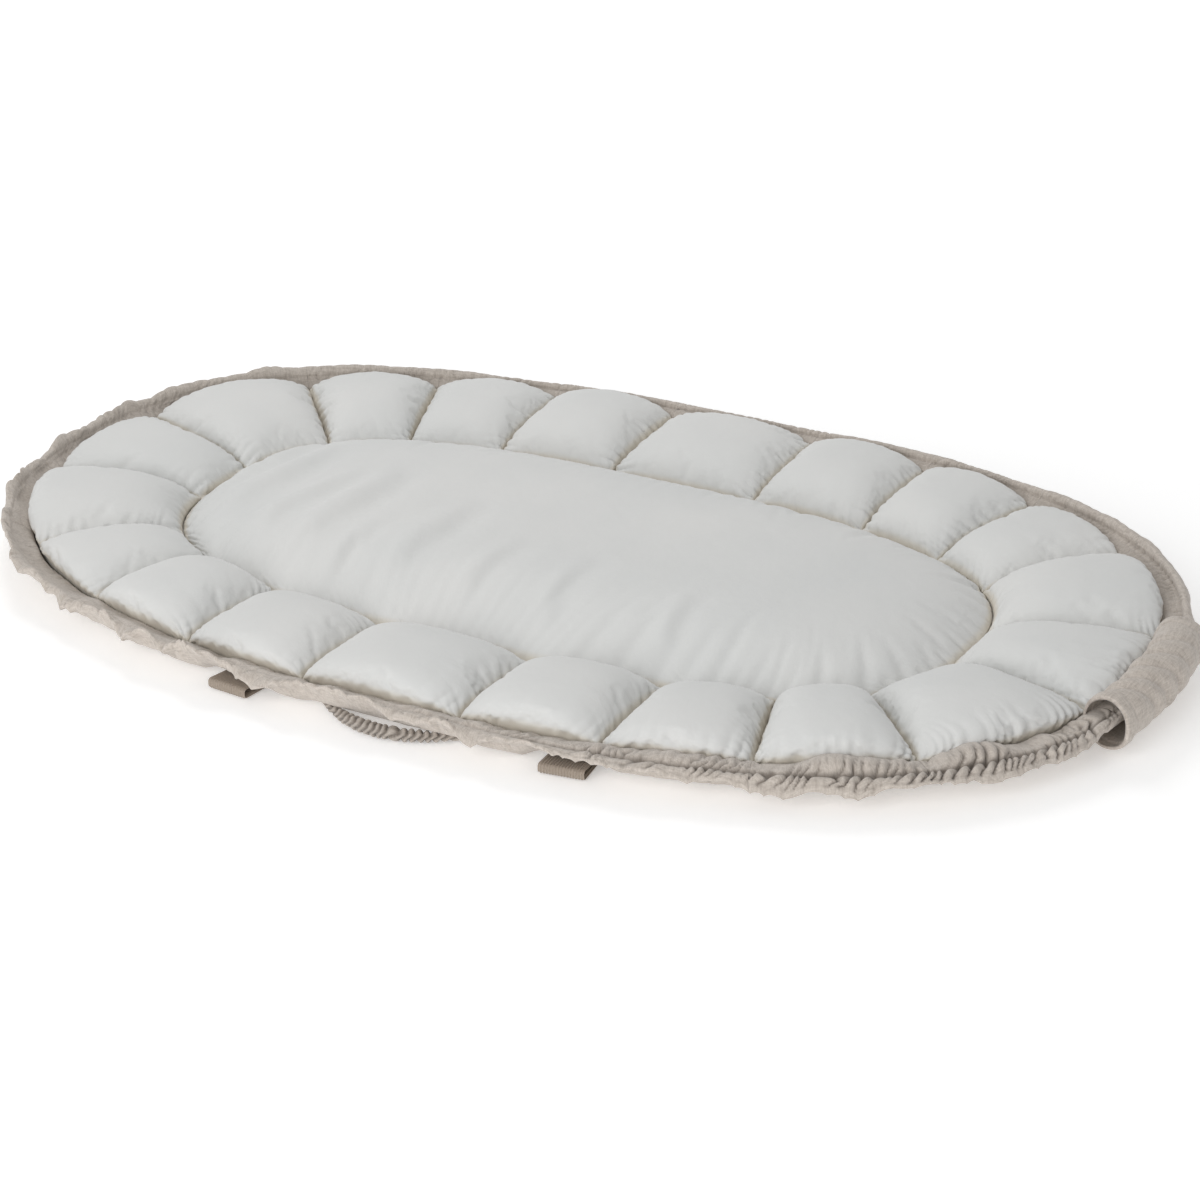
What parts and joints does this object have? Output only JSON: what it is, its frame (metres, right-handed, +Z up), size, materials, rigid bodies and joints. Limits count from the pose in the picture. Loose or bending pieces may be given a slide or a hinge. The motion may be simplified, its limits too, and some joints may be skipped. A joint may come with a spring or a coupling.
{
  "type": "infant lounger",
  "caption": "Oval quilted baby nest opened flat: stuffed centre pad in a ring of folding stuffed channels, with a gathered linen rim, closure sleeve, belt loops and handles",
  "frame": {"origin": "middle of the pad, on the floor under it", "axes": "+X to the foot end with the closure sleeve, +Y to the back side, +Z up"},
  "size_m": [1.0753, 0.6836, 0.058],
  "materials": {
    "white_cotton": "off-white cotton sateen",
    "filling": "white fibre filling",
    "greige_linen": "heathered greige linen",
    "webbing": "ribbed greige webbing",
    "elastic": "woven elastic",
    "lock_plastic": "moulded, matt",
    "steel": "drawn wire"
  },
  "bodies": {
    "mat": {"base_panel": "greige_linen", "centre_cover": "white_cotton", "centre_fill": "filling"},
    "side_01": {"channel_01": "white_cotton", "side_panel_01": "greige_linen"},
    "side_02": {"channel_02": "white_cotton", "side_panel_02": "greige_linen"},
    "side_03": {"channel_03": "white_cotton", "side_panel_03": "greige_linen"},
    "side_04": {"channel_04": "white_cotton", "side_panel_04": "greige_linen"},
    "side_05": {"channel_05": "white_cotton", "side_panel_05": "greige_linen"},
    "side_06": {"channel_06": "white_cotton", "side_panel_06": "greige_linen", "webbing_loop_back_head": "webbing"},
    "side_07": {"channel_07": "white_cotton", "side_panel_07": "greige_linen"},
    "side_08": {"channel_08": "white_cotton", "side_panel_08": "greige_linen", "webbing_loop_back_foot": "webbing"},
    "side_09": {"channel_09": "white_cotton", "side_panel_09": "greige_linen"},
    "side_10": {"channel_10": "white_cotton", "side_panel_10": "greige_linen"},
    "side_11": {"channel_11": "white_cotton", "side_panel_11": "greige_linen"},
    "side_12": {"channel_12": "white_cotton", "side_panel_12": "greige_linen", "closure_sleeve": "greige_linen", "drawcord": "elastic", "cord_lock_barrel": "lock_plastic", "cord_lock_spring": "steel"},
    "side_13": {"channel_13": "white_cotton", "side_panel_13": "greige_linen"},
    "side_14": {"channel_14": "white_cotton", "side_panel_14": "greige_linen"},
    "side_15": {"channel_15": "white_cotton", "side_panel_15": "greige_linen"},
    "side_16": {"channel_16": "white_cotton", "side_panel_16": "greige_linen", "webbing_loop_front_foot": "webbing"},
    "side_17": {"channel_17": "white_cotton", "side_panel_17": "greige_linen"},
    "side_18": {"channel_18": "white_cotton", "side_panel_18": "greige_linen", "webbing_loop_front_head": "webbing"},
    "side_19": {"channel_19": "white_cotton", "side_panel_19": "greige_linen"},
    "side_20": {"channel_20": "white_cotton", "side_panel_20": "greige_linen"},
    "lock_plunger": {"cord_lock_plunger": "lock_plastic"},
    "handle_front": {"side_handle_front": "greige_linen", "handle_elastic_front": "elastic"},
    "handle_back": {"side_handle_back": "greige_linen", "handle_elastic_back": "elastic"}
  },
  "joints": [
    {"name": "fold_17", "type": "hinge", "parent": "mat", "child": "side_17", "pos_m": [0, -0.19106, 0.014], "axis": [-1, 0, 0], "range_deg": [0, 60], "deforming": ["channel_17", "side_panel_17"]},
    {"name": "fold_01", "type": "hinge", "parent": "mat", "child": "side_01", "pos_m": [-0.34561, -0.07635, 0.014], "axis": [-0.427, 0.9043, 0], "range_deg": [0, 60], "deforming": ["channel_01", "side_panel_01"]},
    {"name": "fold_02", "type": "hinge", "parent": "mat", "child": "side_02", "pos_m": [-0.36434, 0, 0.014], "axis": [0, 1, 0], "range_deg": [0, 60], "deforming": ["channel_02", "side_panel_02"]},
    {"name": "fold_03", "type": "hinge", "parent": "mat", "child": "side_03", "pos_m": [-0.34561, 0.07635, 0.014], "axis": [0.427, 0.9043, 0], "range_deg": [0, 60], "deforming": ["channel_03", "side_panel_03"]},
    {"name": "fold_04", "type": "hinge", "parent": "mat", "child": "side_04", "pos_m": [-0.29716, 0.13564, 0.014], "axis": [0.8345, 0.5511, 0], "range_deg": [0, 60], "deforming": ["channel_04", "side_panel_04"]},
    {"name": "fold_05", "type": "hinge", "parent": "mat", "child": "side_05", "pos_m": [-0.22584, 0.16757, 0.014], "axis": [0.959, 0.2835, 0], "range_deg": [0, 60], "deforming": ["channel_05", "side_panel_05"]},
    {"name": "fold_06", "type": "hinge", "parent": "mat", "child": "side_06", "pos_m": [-0.1282, 0.18546, 0.014], "axis": [0.9951, 0.0994, 0], "range_deg": [0, 60], "deforming": ["channel_06", "side_panel_06"]},
    {"name": "fold_07", "type": "hinge", "parent": "mat", "child": "side_07", "pos_m": [0, 0.19106, 0.014], "axis": [1, 0, 0], "range_deg": [0, 60], "deforming": ["channel_07", "side_panel_07"]},
    {"name": "fold_08", "type": "hinge", "parent": "mat", "child": "side_08", "pos_m": [0.1282, 0.18546, 0.014], "axis": [0.9951, -0.0994, 0], "range_deg": [0, 60], "deforming": ["channel_08", "side_panel_08"]},
    {"name": "fold_09", "type": "hinge", "parent": "mat", "child": "side_09", "pos_m": [0.22584, 0.16757, 0.014], "axis": [0.959, -0.2835, 0], "range_deg": [0, 60], "deforming": ["channel_09", "side_panel_09"]},
    {"name": "fold_10", "type": "hinge", "parent": "mat", "child": "side_10", "pos_m": [0.29716, 0.13564, 0.014], "axis": [0.8345, -0.5511, 0], "range_deg": [0, 60], "deforming": ["channel_10", "side_panel_10"]},
    {"name": "fold_11", "type": "hinge", "parent": "mat", "child": "side_11", "pos_m": [0.34561, 0.07635, 0.014], "axis": [0.427, -0.9043, 0], "range_deg": [0, 60], "deforming": ["channel_11", "side_panel_11"]},
    {"name": "fold_12", "type": "hinge", "parent": "mat", "child": "side_12", "pos_m": [0.36434, 0, 0.014], "axis": [0, -1, 0], "range_deg": [0, 60], "deforming": ["channel_12", "side_panel_12"]},
    {"name": "fold_13", "type": "hinge", "parent": "mat", "child": "side_13", "pos_m": [0.34561, -0.07635, 0.014], "axis": [-0.427, -0.9043, 0], "range_deg": [0, 60], "deforming": ["channel_13", "side_panel_13"]},
    {"name": "fold_14", "type": "hinge", "parent": "mat", "child": "side_14", "pos_m": [0.29716, -0.13564, 0.014], "axis": [-0.8345, -0.5511, 0], "range_deg": [0, 60], "deforming": ["channel_14", "side_panel_14"]},
    {"name": "fold_15", "type": "hinge", "parent": "mat", "child": "side_15", "pos_m": [0.22584, -0.16757, 0.014], "axis": [-0.959, -0.2835, 0], "range_deg": [0, 60], "deforming": ["channel_15", "side_panel_15"]},
    {"name": "fold_16", "type": "hinge", "parent": "mat", "child": "side_16", "pos_m": [0.1282, -0.18546, 0.014], "axis": [-0.9951, -0.0994, 0], "range_deg": [0, 60], "deforming": ["channel_16", "side_panel_16"]},
    {"name": "fold_18", "type": "hinge", "parent": "mat", "child": "side_18", "pos_m": [-0.1282, -0.18546, 0.014], "axis": [-0.9951, 0.0994, 0], "range_deg": [0, 60], "deforming": ["channel_18", "side_panel_18"]},
    {"name": "fold_19", "type": "hinge", "parent": "mat", "child": "side_19", "pos_m": [-0.22584, -0.16757, 0.014], "axis": [-0.959, 0.2835, 0], "range_deg": [0, 60], "deforming": ["channel_19", "side_panel_19"]},
    {"name": "fold_20", "type": "hinge", "parent": "mat", "child": "side_20", "pos_m": [-0.29716, -0.13564, 0.014], "axis": [-0.8345, 0.5511, 0], "range_deg": [0, 60], "deforming": ["channel_20", "side_panel_20"]},
    {"name": "handle_front_swing", "type": "hinge", "parent": "side_17", "child": "handle_front", "pos_m": [0.01095, -0.30898, 0.00601], "axis": [1, 0.0061, -0.0011], "range_deg": [0, 80]},
    {"name": "handle_back_swing", "type": "hinge", "parent": "side_07", "child": "handle_back", "pos_m": [0.01095, 0.30898, 0.01179], "axis": [-1, 0.0061, -0.001], "range_deg": [0, 80]},
    {"name": "lock_press", "type": "slide", "parent": "side_12", "child": "lock_plunger", "axis": [-1, 0, 0], "range_m": [0, 0.003], "stiffness_N_per_m": 300, "deforming": ["cord_lock_spring"]}
  ],
  "couplings": [
    {"joint": "fold_01", "follows": "fold_17", "ratio": 1},
    {"joint": "fold_02", "follows": "fold_17", "ratio": 1},
    {"joint": "fold_03", "follows": "fold_17", "ratio": 1},
    {"joint": "fold_04", "follows": "fold_17", "ratio": 1},
    {"joint": "fold_05", "follows": "fold_17", "ratio": 1},
    {"joint": "fold_06", "follows": "fold_17", "ratio": 1},
    {"joint": "fold_07", "follows": "fold_17", "ratio": 1},
    {"joint": "fold_08", "follows": "fold_17", "ratio": 1},
    {"joint": "fold_09", "follows": "fold_17", "ratio": 1},
    {"joint": "fold_10", "follows": "fold_17", "ratio": 1},
    {"joint": "fold_11", "follows": "fold_17", "ratio": 1},
    {"joint": "fold_12", "follows": "fold_17", "ratio": 1},
    {"joint": "fold_13", "follows": "fold_17", "ratio": 1},
    {"joint": "fold_14", "follows": "fold_17", "ratio": 1},
    {"joint": "fold_15", "follows": "fold_17", "ratio": 1},
    {"joint": "fold_16", "follows": "fold_17", "ratio": 1},
    {"joint": "fold_18", "follows": "fold_17", "ratio": 1},
    {"joint": "fold_19", "follows": "fold_17", "ratio": 1},
    {"joint": "fold_20", "follows": "fold_17", "ratio": 1}
  ]
}
